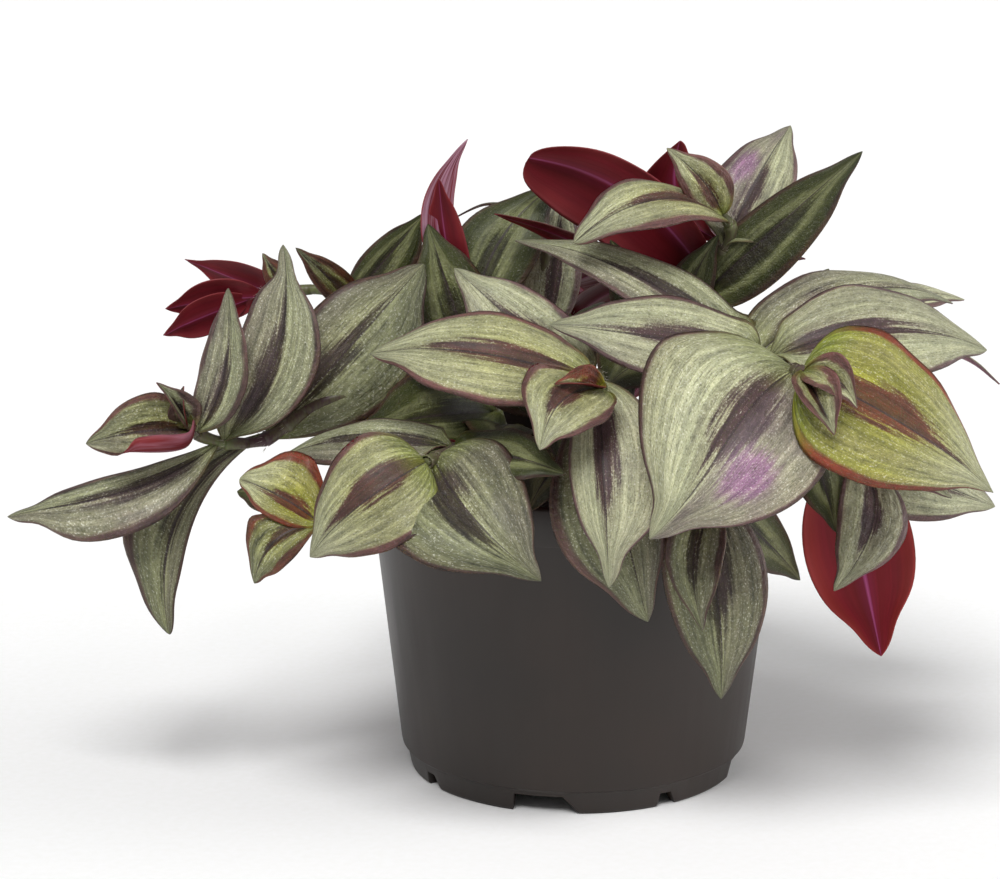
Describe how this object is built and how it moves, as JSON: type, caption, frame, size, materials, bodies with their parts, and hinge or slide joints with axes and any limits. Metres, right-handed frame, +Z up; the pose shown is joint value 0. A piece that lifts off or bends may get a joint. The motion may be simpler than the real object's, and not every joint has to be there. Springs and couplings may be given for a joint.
{
  "type": "potted tradescantia",
  "caption": "Trailing striped-leaf house plant: leafy jointed shoots rooted in the soil of a round nursery pot that stands on its notched foot ring.",
  "frame": {"origin": "on the ground under the middle of the whole plant's box; the pot's axis stands at x = 17.5 mm, y = -1.1 mm", "axes": "+Z up along the pot's axis; -Y towards the viewer of the picture, so the long trailing shoot lies on the -X side"},
  "size_m": [0.2854, 0.2024, 0.1843],
  "materials": {
    "pot_plastic": "satin black, moulded",
    "potting_soil": "crumbly dark peat and bark",
    "leafy_shoot": "soft satin leaf, silver-green with purple stripes above and maroon below"
  },
  "bodies": {
    "root": {"pot": "pot_plastic", "soil": "potting_soil", "back_left_high_shoot": "leafy_shoot", "back_left_shoot": "leafy_shoot", "back_left_shoot_low": "leafy_shoot", "back_middle_shoot": "leafy_shoot", "back_right_high_shoot": "leafy_shoot", "back_right_shoot": "leafy_shoot", "centre_shoot": "leafy_shoot", "erect_shoot": "leafy_shoot", "far_right_shoot": "leafy_shoot", "front_left_shoot": "leafy_shoot", "front_low_shoot": "leafy_shoot", "inner_left_shoot": "leafy_shoot", "left_shoot": "leafy_shoot", "low_left_shoot": "leafy_shoot", "right_back_shoot": "leafy_shoot", "right_front_shoot": "leafy_shoot", "right_low_shoot": "leafy_shoot", "top_back_shoot": "leafy_shoot", "top_shoot": "leafy_shoot"}
  },
  "joints": []
}
